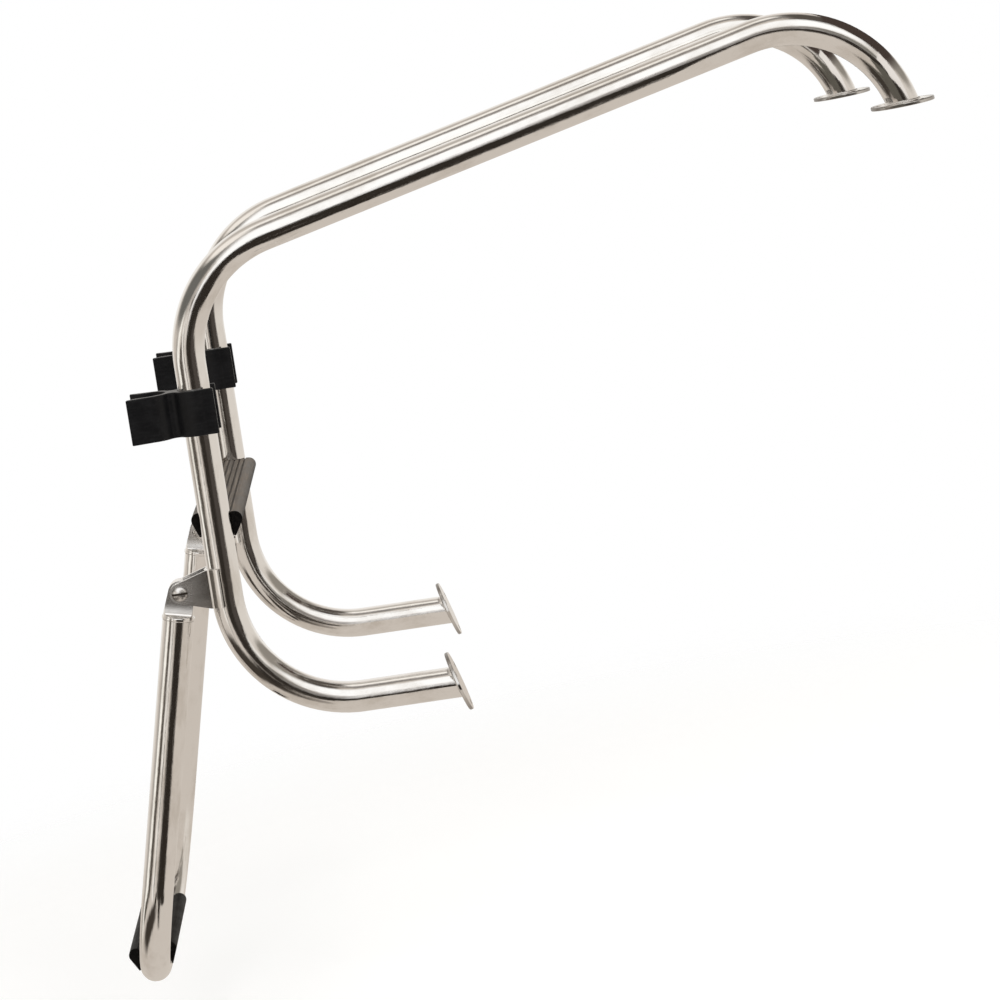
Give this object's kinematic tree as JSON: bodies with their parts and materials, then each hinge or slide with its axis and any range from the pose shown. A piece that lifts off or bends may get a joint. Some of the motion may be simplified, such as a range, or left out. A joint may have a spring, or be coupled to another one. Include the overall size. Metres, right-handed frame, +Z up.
{
  "type": "folding boat boarding ladder",
  "caption": "Stainless boat boarding ladder whose bent rails fix to the deck edge and transom, with a lower step section that swings up on hinges into clips.",
  "frame": {"origin": "on the deck, midway between the two deck pads' mounting faces", "axes": "+X towards the boat, +Y to its port side, +Z up"},
  "size_m": [0.7815, 0.33, 0.6815],
  "materials": {
    "stainless": "bright polished stainless tube and sheet",
    "black_rubber": "black, smooth, slightly glossy",
    "black_plastic": "black moulded plastic, matt, with fine lengthwise grooves",
    "nylon": "plain off-white nylon"
  },
  "bodies": {
    "rail_frame": {"rail_starboard": "stainless", "deck_pad_starboard": "stainless", "transom_pad_starboard": "stainless", "hinge_bracket_starboard": "stainless", "hinge_pin_starboard": "stainless", "hinge_nut_starboard": "stainless", "hinge_washer_starboard_outer": "nylon", "hinge_washer_starboard_inner": "nylon", "clip_starboard": "black_rubber", "rail_port": "stainless", "deck_pad_port": "stainless", "transom_pad_port": "stainless", "hinge_bracket_port": "stainless", "hinge_pin_port": "stainless", "hinge_nut_port": "stainless", "hinge_washer_port_outer": "nylon", "hinge_washer_port_inner": "nylon", "clip_port": "black_rubber", "upper_rung": "stainless", "upper_tread": "black_plastic"},
    "lower_section": {"lower_tube": "stainless", "leg_cap_starboard": "stainless", "leg_cap_port": "stainless", "lower_tread": "black_plastic"}
  },
  "joints": [
    {"name": "lower_section_hinge", "type": "hinge", "parent": "rail_frame", "child": "lower_section", "pos_m": [-0.63545, 0, -0.25505], "axis": [0, 1, 0], "range_deg": [0, 166.7]}
  ]
}
